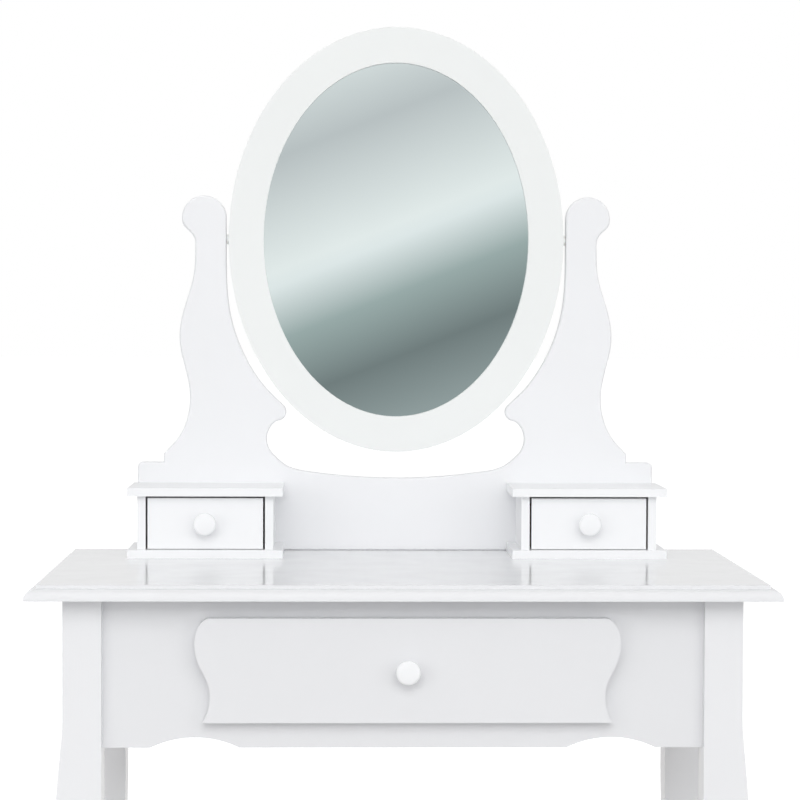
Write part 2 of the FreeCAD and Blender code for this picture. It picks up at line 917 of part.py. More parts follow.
def knob_profile():
    """Half the section of a turned knob: a foot, a neck and a low domed mushroom head."""
    foot = size("knob_foot_radius")
    neck = size("knob_neck_radius")
    tip = size("knob_length")
    rim = size("knob_rim_radius")
    rim_x = size("knob_radius") - rim
    rim_z = size("knob_rim_height")
    # the dome is a ball centred on the axis that meets the rim's round without a corner
    dome_z = ((tip - rim) ** 2 - rim_x ** 2 - rim_z ** 2) / (2 * (tip - rim - rim_z))
    dome = tip - dome_z
    lean = math.atan2(rim_x, rim_z - dome_z)
    seam = V(dome * math.sin(lean), dome_z + dome * math.cos(lean), 0)
    crown = V(dome * math.sin(lean / 2), dome_z + dome * math.cos(lean / 2), 0)
    foot_top = V(foot, size("knob_foot_rim"), 0)
    neck_low = V(neck, size("knob_neck_low"), 0)
    neck_high = V(neck, size("knob_neck_high"), 0)
    under_rim = V(rim_x, rim_z - rim, 0)
    return (
        lines([V(0, 0, 0), V(foot, 0, 0), foot_top, neck_low, neck_high, under_rim])
        + [Part.Arc(under_rim, V(rim_x + rim, rim_z, 0), seam), Part.Arc(seam, crown, V(0, tip, 0))]
        + lines([V(0, tip, 0), V(0, 0, 0)])
    )


def knob_and_screw(prefix, x, face_y, z, board):
    """A knob on a drawer front's face, the machine screw that holds it from inside the
    drawer, and the hole for the screw."""
    head = "knob_screw_head_height"
    steps = [
        ("knob_screw_head_radius", "0", head),
        ("knob_screw_radius", "0", f"{head} + {board} + knob_screw_reach"),
    ]
    spot = (x, f"{face_y} + {board} + {head}", z, "-y")
    hole = fixings(f"{prefix}_knob_screw", steps, [spot])
    blank = turned(f"{prefix}_knob", knob_profile(), "-y", x, face_y, z)
    node(f"{prefix}_knob", cut(f"{prefix}_knob", blank, hole))
    return hole


wide_knob_height = "table_height - wide_front_drop - wide_front_height / 2 - wide_knob_drop"
wide_knob_hole = knob_and_screw(
    "wide_drawer",
    "wide_front_shift",
    f"{WIDE_FRONT_BACK} - wide_front_thickness",
    wide_knob_height,
    "wide_front_thickness",
)

# The hardboard bottom slides in grooves of the front and sides, and passes under the back.
BOTTOM_HALF = "(wide_box_width / 2 - wide_board + groove_depth)"

bottom = block(
    "wide_drawer_bottom",
    f"2 * {BOTTOM_HALF}",
    "wide_box_length + groove_depth - wide_bottom_short",
    "hardboard",
    f"-{BOTTOM_HALF}",
    f"{WIDE_FRONT_BACK} - groove_depth",
    WIDE_BOTTOM,
)
node("wide_drawer_bottom", bottom)
bottom_groove = block(
    "wide_bottom_groove",
    f"2 * {BOTTOM_HALF} + 2 * groove_play",
    f"wide_box_length + groove_depth + groove_play + {CLEAR}",
    "hardboard + 2 * groove_play",
    f"-{BOTTOM_HALF} - groove_play",
    f"{WIDE_FRONT_BACK} - groove_depth - groove_play",
    f"{WIDE_BOTTOM} - groove_play",
)

front_body, _ = upright_board(
    "wide_front", wide_front_outline(), "wide_front_thickness", WIDE_FRONT_BACK, "wide_front_shift"
)
node(
    "wide_drawer_front",
    cut("wide_drawer_front", front_body, bottom_groove, wide_dowel_holes, wide_knob_hole),
)

for side_name, side in SIDES.items():
    low_x = "wide_box_width / 2 - wide_board" if side > 0 else "-wide_box_width / 2"
    board = block(
        f"wide_{side_name}_board",
        "wide_board",
        "wide_box_length",
        "wide_box_height",
        low_x,
        WIDE_FRONT_BACK,
        WIDE_BOX_FOOT,
    )
    groove_low_x = "wide_box_width / 2 - groove_depth" if side > 0 else f"-wide_box_width / 2 - {CLEAR}"
    runner_groove = block(
        f"wide_{side_name}_runner_groove",
        f"groove_depth + {CLEAR}",
        "wide_box_length",
        "runner_height + 2 * runner_play",
        groove_low_x,
        f"{WIDE_FRONT_BACK} + runner_groove_start",
        f"{RUNNER_FOOT} - runner_play",
    )
    name = f"wide_drawer_{side_name}_side"
    node(name, cut(name, board, bottom_groove, runner_groove, wide_dowel_holes, wide_screw_holes))

back_board = block(
    "wide_back_board",
    "wide_box_width - 2 * wide_board",
    "wide_board",
    "wide_box_height - wide_bottom_lift - hardboard - hardboard_play",
    "-wide_box_width / 2 + wide_board",
    f"{WIDE_BOX_BACK} - wide_board",
    f"{WIDE_BOTTOM} + hardboard + hardboard_play",
)
node("wide_drawer_back", cut("wide_drawer_back", back_board, wide_screw_holes))


# ---------------------------------------------------------------- small cabinets

CABINET_FRONT = f"({STAND_FRONT} - cabinet_depth)"
SIDE_FRONT = f"({CABINET_FRONT} + cabinet_setback)"
SIDE_HEIGHT = "(cabinet_height - 2 * cabinet_board)"
SIDE_SPREAD = "(cabinet_width / 2 - cabinet_inset - cabinet_board / 2)"

cabinet_dowel_places = []
for side in SIDES.values():
    for wall in (-1, 1):
        x = f"{side} * cabinet_centre + {wall} * {SIDE_SPREAD}"
        for depth in ("cabinet_dowel_front", "cabinet_dowel_rear"):
            y = f"{CABINET_FRONT} + {depth}"
            low = "table_height + cabinet_board - cabinet_dowel_low_bite"
            high = "table_height + cabinet_height - cabinet_board - cabinet_dowel_high_bite"
            cabinet_dowel_places.append((x, y, low, "+z"))
            cabinet_dowel_places.append((x, y, high, "+z"))
cabinet_dowel_holes = fixings(
    "cabinet_dowels", [("thin_dowel_radius", "0", "cabinet_dowel_length")], cabinet_dowel_places
)


def cabinet_panel(name, side, z):
    panel = block(
        name + "_board",
        "cabinet_width",
        "cabinet_depth",
        "cabinet_board",
        f"{side} * cabinet_centre - cabinet_width / 2",
        CABINET_FRONT,
        z,
    )
    return node(name, cut(name, panel, cabinet_dowel_holes, base_screw_holes))


def cabinet_side(name, side, wall):
    """A cabinet's side; wall is 1 on the table's outer side and -1 on the inner."""
    low_x = f"{side} * cabinet_centre + {side * wall} * {SIDE_SPREAD} - cabinet_board / 2"
    panel = block(
        name + "_board",
        "cabinet_board",
        "cabinet_depth - cabinet_setback",
        SIDE_HEIGHT,
        low_x,
        SIDE_FRONT,
        "table_height + cabinet_board",
    )
    return node(name, cut(name, panel, cabinet_dowel_holes))


for side_name, side in SIDES.items():
    cabinet_panel(f"{side_name}_cabinet_base", side, "table_height")
    cabinet_panel(f"{side_name}_cabinet_top", side, "table_height + cabinet_height - cabinet_board")
    cabinet_side(f"{side_name}_cabinet_outer_side", side, 1)
    cabinet_side(f"{side_name}_cabinet_inner_side", side, -1)


# ---------------------------------------------------------------- small drawers

def small_drawer(prefix, side):
    """An inset front with a box behind it that slides on the cabinet's base."""
    centre = f"{side} * cabinet_centre"
    floor = "(table_height + cabinet_board + small_box_lift)"
    front_foot = "(table_height + cabinet_board + small_front_lift)"
    front_back = f"({SIDE_FRONT} + cabinet_board)"
    bottom_half = "(small_box_width / 2 - small_board + small_groove)"
    bottom_level = f"({floor} + small_bottom_lift)"

    knob_hole = knob_and_screw(
        prefix, centre, SIDE_FRONT, f"{front_foot} + small_front_height / 2", "cabinet_board"
    )
    node(
        f"{prefix}_bottom",
        block(
            f"{prefix}_bottom",
            f"2 * {bottom_half}",
            "small_box_length + small_groove",
            "hardboard",
            f"{centre} - {bottom_half}",
            f"{front_back} - small_groove",
            bottom_level,
        ),
    )
    groove = block(
        f"{prefix}_groove",
        f"2 * {bottom_half} + 2 * groove_play",
        f"small_box_length + small_groove + groove_play + {CLEAR}",
        "hardboard + 2 * groove_play",
        f"{centre} - {bottom_half} - groove_play",
        f"{front_back} - small_groove - groove_play",
        f"{bottom_level} - groove_play",
    )
    front = block(
        f"{prefix}_front_board",
        "small_front_width",
        "cabinet_board",
        "small_front_height",
        f"{centre} - small_front_width / 2",
        SIDE_FRONT,
        front_foot,
    )
    node(f"{prefix}_front", cut(f"{prefix}_front", front, groove, knob_hole))
    for wall_name, wall in (("outer", side), ("inner", -side)):
        low_x = f"{centre} + {wall} * (small_box_width - small_board) / 2 - small_board / 2"
        board = block(
            f"{prefix}_{wall_name}_board",
            "small_board",
            "small_box_length",
            "small_box_height",
            low_x,
            front_back,
            floor,
        )
        name = f"{prefix}_{wall_name}_side"
        node(name, cut(name, board, groove))
    back = block(
        f"{prefix}_back",
        "small_box_width - 2 * small_board",
        "small_board",
        "small_box_height - small_bottom_lift - hardboard - hardboard_play",
        f"{centre} - small_box_width / 2 + small_board",
        f"{front_back} + small_box_length - small_board",
        f"{bottom_level} + hardboard + hardboard_play",
    )
    node(f"{prefix}_back", back)


for side_name, side in SIDES.items():
    small_drawer(f"{side_name}_drawer", side)


# ---------------------------------------------------------------- mirror pivots

OUTWARD = {1: "+x", -1: "-x"}
INWARD = {1: "-x", -1: "+x"}


def at_both_pivots(name, steps, start, directions, play=0.0):
    """The same coaxial steps at the left and the right pivot; start is a distance in X."""
    return group(
        name,
        [
            stepped(
                f"{name}_{number}", steps, f"{side} * ({start})", PIVOT_Y, PIVOT_Z, directions[side], play
            )
            for number, side in enumerate(SIDES.values())
        ],
    )


BOLT = [
    ("bolt_head_radius", "0", "bolt_head_height"),
    ("bolt_radius", "bolt_tip - bolt_seat", f"bolt_seat - bolt_tip + {CLEAR}"),
]
node("pivot_bolts", at_both_pivots("pivot_bolts", BOLT, "bolt_seat", OUTWARD))

BORE = [("bolt_radius", f"bolt_tip - bolt_seat - {CLEAR}", f"bolt_seat - bolt_tip + 2 * {CLEAR}")]
bolt_bores = at_both_pivots("bolt_bores", BORE, "bolt_seat", OUTWARD, DIMENSIONS["running_play"])

POCKET = [("bolt_head_radius + bolt_pocket_play", "-running_play", "stand_shoulder_half - bolt_seat")]
head_pockets = at_both_pivots("head_pockets", POCKET, "bolt_seat", OUTWARD)

INSERT = [("insert_radius", "0", "insert_length")]
insert_blanks = at_both_pivots("insert_blanks", INSERT, "mirror_width / 2", INWARD)
node("pivot_inserts", cut("pivot_inserts", insert_blanks, bolt_bores))

INSERT_HOLE = [("insert_radius + running_play", f"-{CLEAR}", f"insert_length + {CLEAR} + running_play")]
insert_holes = at_both_pivots("insert_holes", INSERT_HOLE, "mirror_width / 2", INWARD)

WASHER = [("washer_radius", "0", "washer_thickness")]
washer_blanks = at_both_pivots("washer_blanks", WASHER, "mirror_width / 2 + washer_play", OUTWARD)
node("pivot_washers", cut("pivot_washers", washer_blanks, bolt_bores))


# ---------------------------------------------------------------- mirror stand

def stand_outline():
    """One board: a low wide foot that rises into two scrolled posts beside the mirror.
    Each place is a distance from the middle and a height above the table top."""
    top = size("table_height")
    foot_half = size("stand_shoulder_half")
    shoulder = size("stand_shoulder_height")
    corner = size("stand_shoulder_round")
    step = size("stand_step_half")
    step_top = shoulder + size("stand_step_rise")
    inner = size("mirror_width / 2 + stand_gap")
    head_radius = size("stand_head_radius")
    head_height = size("stand_head_height")

    def at(across, up):
        return V(across, top + up, 0)

    # the shoulder, with a rounded corner and a small step up to the post
    corner_centre = at(foot_half - corner, shoulder - corner)
    shoulder_edge = (
        lines([at(foot_half, 0), at(foot_half, shoulder - corner)])
        + [arc(corner_centre, corner, 0, 90)]
        + lines([at(foot_half - corner, shoulder), at(step, shoulder), at(step, step_top)])
    )

    # the post's waisted outer edge, and the notch under its round head
    outer_edge = [
        at(step, step_top),
        at(246, 128.5),
        at(236, 151),
        at(233.2, 172),
        at(236.8, 199),
        at(244.9, 238),
        at(238.4, 278.5),
        at(229.3, 310.5),
        at(227.4, 340),
    ]
    head = at(inner + head_radius, head_height)
    head_start = -12
    notch = [outer_edge[-1], at(227.7, 351), at(231.8, 359.2), head + heading(head_start) * head_radius]

    # the inner edge beside the mirror, down to the hook's round nose
    nose = at(134.2, 157.2)
    nose_radius = 10.1
    nose_start = 133
    nose_end = 250
    inner_edge = [
        at(inner, head_height),
        at(inner, 332),
        at(189.8, 282),
        at(181.8, 246),
        at(165.8, 210.5),
        at(145.3, 182.0),
        nose + heading(nose_start) * nose_radius,
    ]

    # the round bite below the hook, and the long shallow curve to the middle
    bite = at(121.6, 126.2)
    bite_radius = 24.6
    bite_start = 50
    bite_end = -45
    neck = [nose + heading(nose_end) * nose_radius, bite + heading(bite_start) * bite_radius]
    low_edge = [
        bite + heading(bite_end) * bite_radius,
        at(124, 96.2),
        at(98, 89.2),
        at(57, 84.6),
        at(0, 82.2),
    ]

    right = shoulder_edge + [
        curve_through(outer_edge, first=130, last=90),
        curve_through(notch, first=90, last=head_start + 90),
        arc(head, head_radius, head_start, 180),
        curve_through(inner_edge, first=-90, last=nose_start + 90),
        arc(nose, nose_radius, nose_start, nose_end),
        curve_through(neck, first=nose_end + 90, last=bite_start - 90),
        arc(bite, bite_radius, bite_start, bite_end),
        curve_through(low_edge, first=bite_end - 90, last=180),
    ]
    return right + mirrored(right) + lines([at(-foot_half, 0), at(foot_half, 0)])


stand_body, stand_pad = upright_board(
    "mirror_stand", stand_outline(), "stand_board", "table_depth / 2 - stand_rear"
)
doc.recompute()
front_face = min(
    range(len(stand_pad.Shape.Faces)), key=lambda number: stand_pad.Shape.Faces[number].CenterOfMass.y
)
stand_round = stand_body.newObject("PartDesign::Fillet", "stand_round")
stand_round.Base = (stand_pad, [f"Face{front_face + 1}"])
bind(stand_round, Radius="stand_edge_round")
node("mirror_stand", cut("mirror_stand", stand_body, bolt_bores, head_pockets, base_screw_holes))


# ---------------------------------------------------------------- mirror

def oval(width, height):
    """A full upright ellipse about the sketch's origin."""
    return Part.Ellipse(V(0, height / 2, 0), V(width / 2, 0, 0), V(0, 0, 0))


def oval_disc(name, width, height, thickness, front):
    """An oval plate about the pivots' height, with its front at a given Y."""
    body, _ = upright_board(
        name, [oval(size(width), size(height))], thickness, f"{front} + {thickness}"
    )
    place(body, "0", f"{front} + {thickness}", PIVOT_Z)
    return body


MIRROR_FRONT = f"({PIVOT_Y} - mirror_board / 2)"
GLASS_FRONT = f"({MIRROR_FRONT} + rebate_lip)"
REBATE_WIDTH = "sight_width + 2 * rebate_width"
REBATE_HEIGHT = "sight_height + 2 * rebate_width"

frame_blank = oval_disc("frame_blank", "mirror_width", "mirror_height", "mirror_board", MIRROR_FRONT)
sight = oval_disc(
    "sight", "sight_width", "sight_height", f"mirror_board + 2 * {CLEAR}", f"{MIRROR_FRONT} - {CLEAR}"
)
rebate = oval_disc("rebate", REBATE_WIDTH, REBATE_HEIGHT, "mirror_board", GLASS_FRONT)
glass_width = f"{REBATE_WIDTH} - 2 * glass_play"
glass_height = f"{REBATE_HEIGHT} - 2 * glass_play"
node("mirror_glass", oval_disc("mirror_glass", glass_width, glass_height, "glass_thickness", GLASS_FRONT))
BACKING_FRONT = f"({GLASS_FRONT} + glass_thickness)"
node("mirror_backing", oval_disc("mirror_backing", glass_width, glass_height, "hardboard", BACKING_FRONT))

# Headless pins driven sideways into the rebate's wall hold the backing in.
PIN_COUNT = 10
PIN_Y = f"{BACKING_FRONT} + hardboard + backing_pin_lift"


def backing_pin(name, number, radius, length):
    """One pin, square to the oval rebate, at an equal step round it."""
    angle = 2 * math.pi * (number + 0.5) / PIN_COUNT
    half_width = size(REBATE_WIDTH) / 2
    half_height = size(REBATE_HEIGHT) / 2
    on_wall = V(half_width * math.cos(angle), 0, half_height * math.sin(angle))
    outward = V(math.cos(angle) / half_width, 0, math.sin(angle) / half_height).normalize()
    middle = V(0, size(PIN_Y), size(PIVOT_Z))
    pin = doc.addObject("Part::Cylinder", f"{name}_{number}")
    bind(pin, Radius=radius, Height=length)
    start = middle + on_wall - outward * size("backing_pin_bite")
    pin.Placement = FreeCAD.Placement(start, FreeCAD.Rotation(V(0, 0, 1), outward))
    return pin


backing_pins = [
    backing_pin("backing_pin", number, "backing_pin_radius", "backing_pin_length")
    for number in range(PIN_COUNT)
]
backing_pin_holes = [
    backing_pin(
        "backing_pin_hole", number, f"backing_pin_radius + {HOLE_PLAY}", f"backing_pin_length + {HOLE_PLAY}"
    )
    for number in range(PIN_COUNT)
]
node("backing_pins", group("backing_pins", backing_pins))
pin_hole_group = group("backing_pin_holes", backing_pin_holes)
node("mirror_frame", cut("mirror_frame", frame_blank, sight, rebate, insert_holes, pin_hole_group))


# ---------------------------------------------------------------- checks and export

def check_document():
    """Stop if any object failed or any piece isn't a valid solid shape."""
    failed = [thing.Name for thing in doc.Objects if {"Invalid", "Error"} & set(thing.State)]
    if failed:
        raise RuntimeError(f"failed objects: {failed}")
    for piece in NODES:
        if piece.Shape.isNull() or not piece.Shape.isValid() or not piece.Shape.Solids:
            raise RuntimeError(f"bad shape: {piece.Label}")


def export():
    os.makedirs("parts", exist_ok=True)
    for piece in NODES:
        piece.Shape.exportStep(os.path.join("parts", piece.Label + ".step"))
        box = piece.Shape.BoundBox
        limits = ((box.XMin, box.XMax), (box.YMin, box.YMax), (box.ZMin, box.ZMax))
        spans = "  ".join(f"{low:8.1f}..{high:7.1f}" for low, high in limits)
        print(f"{piece.Label:28s} solids {len(piece.Shape.Solids):3d}  {spans}")


doc.recompute()
check_document()
export()
print(f"{len(NODES)} nodes")
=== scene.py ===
"""Looks of the dressing table: satin white paint, silvered glass, pine, hardboard and zinc."""

import json
import math

import bpy
from mathutils import Euler, Matrix, Vector

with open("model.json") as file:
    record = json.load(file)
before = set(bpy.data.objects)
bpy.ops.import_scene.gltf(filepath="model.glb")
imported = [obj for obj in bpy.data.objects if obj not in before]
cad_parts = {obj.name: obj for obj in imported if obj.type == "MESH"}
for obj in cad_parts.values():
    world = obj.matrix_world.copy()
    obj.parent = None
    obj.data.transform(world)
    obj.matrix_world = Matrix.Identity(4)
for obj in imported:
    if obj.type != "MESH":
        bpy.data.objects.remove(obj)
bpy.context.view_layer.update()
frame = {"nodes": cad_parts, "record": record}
nodes = frame["nodes"]

MM = 0.001


# ---------------------------------------------------------------- camera

PHOTO_PIXELS = 800
SENSOR = 36.0
FOCAL_PIXELS = 2532.6
EYE = Vector((-0.07165, -2.684, 1.02631))
PITCH_DOWN = math.radians(1.905)
YAW_RIGHT = math.radians(1.524)
ROLL = math.radians(0.195)
CLIP_NEAR = 0.05
CLIP_FAR = 60.0


def make_camera():
    data = bpy.data.cameras.new("camera")
    data.sensor_width = SENSOR
    data.lens = SENSOR * FOCAL_PIXELS / PHOTO_PIXELS
    data.clip_start = CLIP_NEAR
    data.clip_end = CLIP_FAR
    camera = bpy.data.objects.new("camera", data)
    bpy.context.scene.collection.objects.link(camera)
    turn = (
        Euler((0, 0, -YAW_RIGHT)).to_matrix()
        @ Euler((math.pi / 2 - PITCH_DOWN, 0, 0)).to_matrix()
        @ Euler((0, 0, ROLL)).to_matrix()
    )
    camera.matrix_world = Matrix.Translation(EYE) @ turn.to_4x4()
    bpy.context.scene.camera = camera


# ---------------------------------------------------------------- material tools

class Nodes:
    """A small helper that adds and links the nodes of one material."""

    def __init__(self, name):
        self.material = bpy.data.materials.new(name)
        self.material.use_nodes = True
        self.tree = self.material.node_tree
        self.shader = self.tree.nodes["Principled BSDF"]
        self.coordinates = self.tree.nodes.new("ShaderNodeTexCoord").outputs["Object"]

    def add(self, kind, **values):
        made = self.tree.nodes.new(kind)
        for name, value in values.items():
            setattr(made, name, value)
        return made

    def link(self, source, target):
        self.tree.links.new(source, target)

    def stretched(self, x, y, z):
        """The object's own coordinates in metres, multiplied along each axis."""
        mapping = self.add("ShaderNodeMapping")
        mapping.inputs["Scale"].default_value = (x, y, z)
        self.link(self.coordinates, mapping.inputs["Vector"])
        return mapping.outputs["Vector"]

    def noise(self, vector, scale, detail=3.0, rough=0.5, warp=0.0):
        made = self.add("ShaderNodeTexNoise")
        made.inputs["Scale"].default_value = scale
        made.inputs["Detail"].default_value = detail
        made.inputs["Roughness"].default_value = rough
        made.inputs["Distortion"].default_value = warp
        self.link(vector, made.inputs["Vector"])
        return made.outputs["Fac"]

    def ramp(self, factor, stops):
        """A colour ramp; each stop is (position, colour)."""
        made = self.add("ShaderNodeValToRGB")
        while len(made.color_ramp.elements) < len(stops):
            made.color_ramp.elements.new(0.5)
        for element, (position, colour) in zip(made.color_ramp.elements, stops):
            element.position = position
            element.color = (*colour, 1.0)
        self.link(factor, made.inputs["Fac"])
        return made.outputs["Color"]

    def spread(self, factor, low, high):
        """A 0 to 1 value moved to the range low to high."""
        made = self.add("ShaderNodeMapRange")
        made.inputs["To Min"].default_value = low
        made.inputs["To Max"].default_value = high
        self.link(factor, made.inputs["Value"])
        return made.outputs["Result"]

    def bump(self, height, depth, strength, below=None):
        made = self.add("ShaderNodeBump")
        made.inputs["Distance"].default_value = depth
        made.inputs["Strength"].default_value = strength
        self.link(height, made.inputs["Height"])
        if below is not None:
            self.link(below, made.inputs["Normal"])
        return made.outputs["Normal"]

    def set(self, **values):
        for name, value in values.items():
            socket = self.shader.inputs[name.replace("_", " ")]
            if isinstance(value, (int, float, tuple)):
                socket.default_value = value
            else:
                self.link(value, socket)
        return self.material


TONE_DRIFT = 0.985
PEEL_SCALE = 420.0
PEEL_DEPTH = 0.0004
GRAIN_DEPTH = 0.0006
GRAIN_STRENGTH = 0.12
GLOSS_BELOW = 0.04
GLOSS_ABOVE = 0.05


def white_paint(name, tone, rough, grain=None, peel_strength=0.10):
    """Sprayed satin lacquer: a faint orange peel, and grain lines where the wood is solid."""
    n = Nodes(name)
    drift = n.noise(n.coordinates, 5.0)
    low = tuple(TONE_DRIFT * channel for channel in tone)
    colour = n.ramp(drift, [(0.35, low), (0.65, tone)])
    peel = n.noise(n.coordinates, PEEL_SCALE, detail=2.0)
    normal = n.bump(peel, PEEL_DEPTH, peel_strength)
    if grain is not None:
        fibres = n.noise(n.stretched(*grain), 1.0, detail=5.0, rough=0.6)
        normal = n.bump(fibres, GRAIN_DEPTH, GRAIN_STRENGTH, below=normal)
    patches = n.noise(n.coordinates, 24.0)
    gloss = n.spread(patches, rough - GLOSS_BELOW, rough + GLOSS_ABOVE)
    return n.set(
        Base_Color=colour, Roughness=gloss, Normal=normal, Coat_Weight=0.25, Coat_Roughness=0.12
    )


def pine(name):
    """Clear sealed pine with long grain along the board and darker late wood."""
    n = Nodes(name)
    along = n.stretched(14.0, 1.2, 14.0)
    bend = n.noise(along, 1.0, detail=2.0)
    lines = n.add("ShaderNodeTexWave", wave_type="BANDS", bands_direction="Z")
    lines.inputs["Scale"].default_value = 38.0
    lines.inputs["Distortion"].default_value = 9.0
    lines.inputs["Detail"].default_value = 3.0
    lines.inputs["Detail Scale"].default_value = 1.4
    mapping = n.stretched(1.0, 0.10, 1.0)
    n.link(mapping, lines.inputs["Vector"])
    rings = n.ramp(
        lines.outputs["Fac"],
        [(0.0, (0.66, 0.44, 0.23)), (0.45, (0.74, 0.55, 0.33)), (1.0, (0.78, 0.61, 0.39))],
    )
    tint = n.ramp(bend, [(0.3, (0.93, 0.90, 0.86)), (0.7, (1.0, 1.0, 1.0))])
    mix = n.add("ShaderNodeMix", data_type="RGBA", blend_type="MULTIPLY")
    mix.inputs["Factor"].default_value = 1.0
    n.link(rings, mix.inputs["A"])
    n.link(tint, mix.inputs["B"])
    fibres = n.noise(n.stretched(900.0, 30.0, 900.0), 1.0, detail=2.0)
    normal = n.bump(fibres, 0.0003, 0.25)
    return n.set(Base_Color=mix.outputs["Result"], Roughness=0.48, Normal=normal)


def hardboard(name):
    """Pressed brown fibre board with short dark and light fibres."""
    n = Nodes(name)
    fibres = n.noise(n.coordinates, 260.0, detail=6.0, rough=0.7, warp=0.6)
    clouds = n.noise(n.coordinates, 12.0, detail=2.0)
    colour = n.ramp(
        fibres,
        [(0.30, (0.17, 0.10, 0.055)), (0.5, (0.27, 0.165, 0.09)), (0.72, (0.36, 0.23, 0.13))],
    )
    gloss = n.spread(clouds, 0.42, 0.62)
    normal = n.bump(fibres, 0.0003, 0.35)
    return n.set(Base_Color=colour, Roughness=gloss, Normal=normal)


def zinc(name):
    """Bright zinc plating with a faint mottled spangle."""
    n = Nodes(name)
    spangle = n.noise(n.coordinates, 300.0, detail=2.0)
    colour = n.ramp(spangle, [(0.35, (0.55, 0.56, 0.57)), (0.65, (0.72, 0.73, 0.74))])
    gloss = n.spread(spangle, 0.22, 0.38)
    return n.set(Base_Color=colour, Metallic=1.0, Roughness=gloss)


def nylon(name):
    """Moulded white nylon, a little translucent, with a fine spark-eroded grain."""
    n = Nodes(name)
    grain = n.noise(n.coordinates, 1500.0, detail=2.0)
    normal = n.bump(grain, 0.0002, 0.2)
    clouds = n.noise(n.coordinates, 40.0)
    colour = n.ramp(clouds, [(0.3, (0.80, 0.80, 0.77)), (0.7, (0.86, 0.86, 0.84))])
    return n.set(
        Base_Color=colour,
        Roughness=0.42,
        Normal=normal,
        Subsurface_Weight=0.15,
        Subsurface_Scale=0.003,
    )


def beech(name):
    """Pale beech with the short dark flecks of its rays."""
    n = Nodes(name)
    flecks = n.noise(n.stretched(500.0, 500.0, 90.0), 1.0, detail=3.0)
    colour = n.ramp(
        flecks,
        [(0.34, (0.46, 0.29, 0.16)), (0.46, (0.66, 0.47, 0.29)), (0.8, (0.72, 0.53, 0.34))],
    )
    normal = n.bump(flecks, 0.0002, 0.2)
    return n.set(Base_Color=colour, Roughness=0.55, Normal=normal)


def silvered_glass(name):
    """The silver behind clear float glass, with a faint green tint."""
    n = Nodes(name)
    haze = n.noise(n.coordinates, 6.0, detail=2.0)
    colour = n.ramp(haze, [(0.3, (0.80, 0.83, 0.83)), (0.7, (0.82, 0.85, 0.85))])
    return n.set(Base_Color=colour, Metallic=1.0, Roughness=0.012)


# Copies of one white paint. Their tones differ by piece as painted light and shade: lighter on
# pieces that are lit more brightly, darker on pieces that stand in more shade.
TABLE_WHITE = (0.796, 0.799, 0.816)
TOP_WHITE = (0.812, 0.815, 0.832)
LEG_WHITE = (0.840, 0.843, 0.860)
STAND_WHITE = (0.865, 0.870, 0.888)
FRAME_WHITE = (0.858, 0.874, 0.868)
CABINET_WHITE = (0.915, 0.920, 0.933)

# Scale of the legs' grain noise along X, Y and Z: fine across the wood, drawn out along it.
LEG_GRAIN = (420.0, 420.0, 14.0)

table_paint = white_paint("table_paint", TABLE_WHITE, 0.36)
top_paint = white_paint("top_paint", TOP_WHITE, 0.16, peel_strength=0.02)
leg_paint = white_paint("leg_paint", LEG_WHITE, 0.36, grain=LEG_GRAIN)
stand_paint = white_paint("stand_paint", STAND_WHITE, 0.38)
frame_paint = white_paint("frame_paint", FRAME_WHITE, 0.38)
cabinet_paint = white_paint("cabinet_paint", CABINET_WHITE, 0.34)
knob_paint = white_paint("knob_paint", CABINET_WHITE, 0.13, peel_strength=0.04)
pine_wood = pine("pine")
fibre_board = hardboard("hardboard")
zinc_plate = zinc("zinc_plate")
white_nylon = nylon("white_nylon")
beech_wood = beech("beech")
mirror_silver = silvered_glass("mirror_silver")

# White paint is chosen by the piece, in paint_for; each piece's copy carries a tone painted
# lighter or darker as painted light and shade.
SLOT_MATERIALS = {
    "drawer_wood": pine_wood,
    "hardboard": fibre_board,
    "zinc_steel": zinc_plate,
    "white_nylon": white_nylon,
    "beech": beech_wood,
    "mirror": mirror_silver,
}


def paint_for(name):
    """The white paint of a painted piece: a copy of one white whose tone is painted lighter or
    darker for how brightly the piece is lit.
    """
    if name == "table_top":
        return top_paint
    if name == "mirror_stand":
        return stand_paint
    if name == "mirror_frame":
        return frame_paint
    if name.endswith("_leg"):
        return leg_paint
    if name.endswith("_knob"):
        return knob_paint
    if "cabinet" in name or name in ("left_drawer_front", "right_drawer_front"):
        return cabinet_paint
    return table_paint


# ---------------------------------------------------------------- CAD nodes

EDGE_SOFTNESS = {
    "white_paint": 0.7 * MM,
    "drawer_wood": 0.6 * MM,
    "hardboard": 0.25 * MM,
    "zinc_steel": 0.25 * MM,
    "white_nylon": 0.3 * MM,
    "beech": 0.5 * MM,
    "mirror": 0.4 * MM,
}

CABINET_SOFTNESS = 1.1 * MM
WELD_REACH = 0.001 * MM
BEVEL_SEGMENTS = 2
SHARP_ANGLE = math.radians(32)


def finish_node(name, material, softness):
    """Give a CAD node its material, a small round on every hard edge and smooth shading."""
    thing = nodes[name]
    thing.data.materials.clear()
    thing.data.materials.append(material)
    for polygon in thing.data.polygons:
        polygon.use_smooth = True
    weld = thing.modifiers.new("weld", "WELD")
    weld.merge_threshold = WELD_REACH
    soften = thing.modifiers.new("soften", "BEVEL")
    soften.width = softness
    soften.segments = BEVEL_SEGMENTS
    soften.limit_method = "ANGLE"
    soften.angle_limit = SHARP_ANGLE
    soften.use_clamp_overlap = True
    soften.harden_normals = False
    level = thing.modifiers.new("normals", "WEIGHTED_NORMAL")
    level.keep_sharp = True


for entry in frame["record"]["subparts"]:
    name = entry["node"]
    slot_name = entry["material_slot"]
    material = paint_for(name) if slot_name == "white_paint" else SLOT_MATERIALS[slot_name]
    is_cabinet_board = "cabinet" in name and slot_name == "white_paint"
    softness = CABINET_SOFTNESS if is_cabinet_board else EDGE_SOFTNESS[slot_name]
    finish_node(name, material, softness)


# ---------------------------------------------------------------- studio

